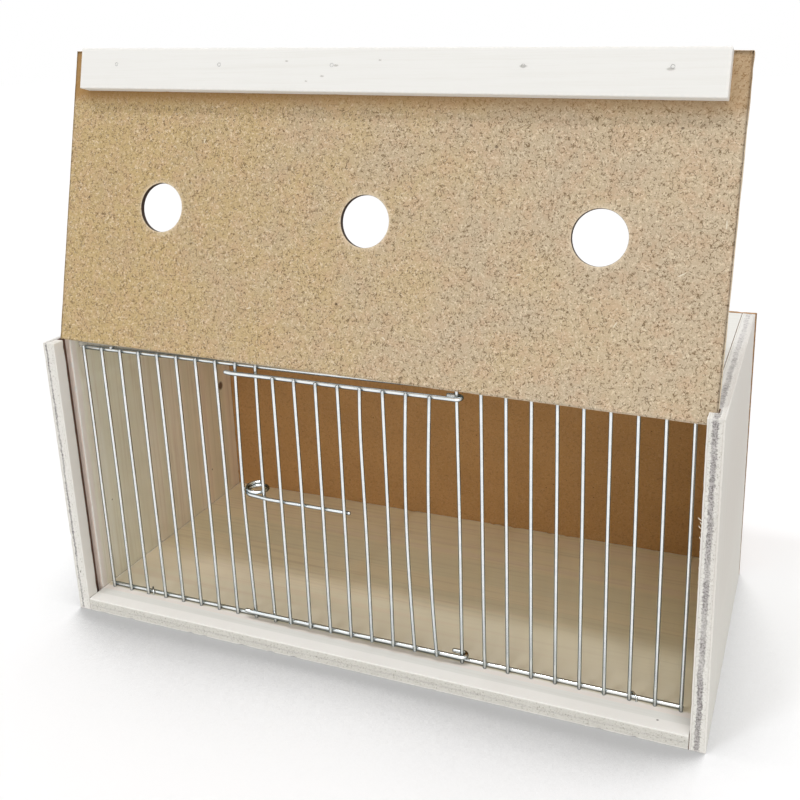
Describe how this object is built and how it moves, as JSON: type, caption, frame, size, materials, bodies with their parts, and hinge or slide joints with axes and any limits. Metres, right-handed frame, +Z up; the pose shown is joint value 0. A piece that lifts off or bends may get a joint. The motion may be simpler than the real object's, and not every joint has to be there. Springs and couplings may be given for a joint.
{
  "type": "transport cage",
  "caption": "Plywood transport cage for small pets: hardboard back, welded wire front with a swinging wire door, and a grooved lift-up hardboard cover with round air holes.",
  "frame": {"origin": "under the middle of the case, on the surface it stands on; the middle is taken over the sides' width and from the front edge to the back board's rear face", "axes": "+X runs to the right along the wire front, +Y from the wire front to the back board, +Z up"},
  "size_m": [0.38, 0.1764, 0.337],
  "materials": {
    "plywood": "pale birch-faced plywood, unfinished, with open ply edges",
    "back_board": "raw brown hardboard",
    "cover_board": "raw tan hardboard, smooth face, dark flecks",
    "strip_wood": "planed pale softwood, thinly whitened",
    "zinc_wire": "bright zinc-coated drawn wire",
    "nail_steel": "plain steel, dulled"
  },
  "bodies": {
    "case": {"floor_panel": "plywood", "roof_panel": "plywood", "left_side": "plywood", "right_side": "plywood", "back_panel": "back_board", "side_pins": "nail_steel", "back_nails": "nail_steel", "grille_top_rail": "zinc_wire", "grille_bottom_rail": "zinc_wire", "grille_staples": "nail_steel", "hook_pins": "nail_steel", "grille_wire_1": "zinc_wire", "grille_wire_2": "zinc_wire", "grille_wire_3": "zinc_wire", "grille_wire_4": "zinc_wire", "grille_wire_5": "zinc_wire", "grille_wire_6": "zinc_wire", "grille_wire_7": "zinc_wire", "grille_wire_8": "zinc_wire", "grille_wire_9": "zinc_wire", "grille_wire_10": "zinc_wire", "grille_wire_11": "zinc_wire", "grille_wire_12": "zinc_wire", "grille_wire_13": "zinc_wire", "grille_wire_14": "zinc_wire", "grille_wire_15": "zinc_wire", "grille_wire_16": "zinc_wire", "grille_wire_17": "zinc_wire", "grille_wire_18": "zinc_wire", "grille_wire_19": "zinc_wire", "grille_wire_20": "zinc_wire"},
    "door": {"door_top_rail": "zinc_wire", "door_bottom_rail": "zinc_wire", "door_latch": "zinc_wire", "door_wire_1": "zinc_wire", "door_wire_2": "zinc_wire", "door_wire_3": "zinc_wire", "door_wire_4": "zinc_wire", "door_wire_5": "zinc_wire", "door_wire_6": "zinc_wire", "door_wire_7": "zinc_wire", "door_wire_8": "zinc_wire"},
    "cover": {"front_cover": "cover_board", "grip_strip": "strip_wood", "strip_brads": "nail_steel"}
  },
  "joints": [
    {"name": "cover_tilt", "type": "hinge", "parent": "case", "child": "cover", "pos_m": [0, -0.07781, 0.1702], "axis": [1, 0, 0], "range_deg": [0, 14.2]},
    {"name": "door_swing", "type": "hinge", "parent": "case", "child": "door", "pos_m": [0.0585, -0.07145, 0.0882], "axis": [0, 0, 1], "range_deg": [0, 150]}
  ]
}
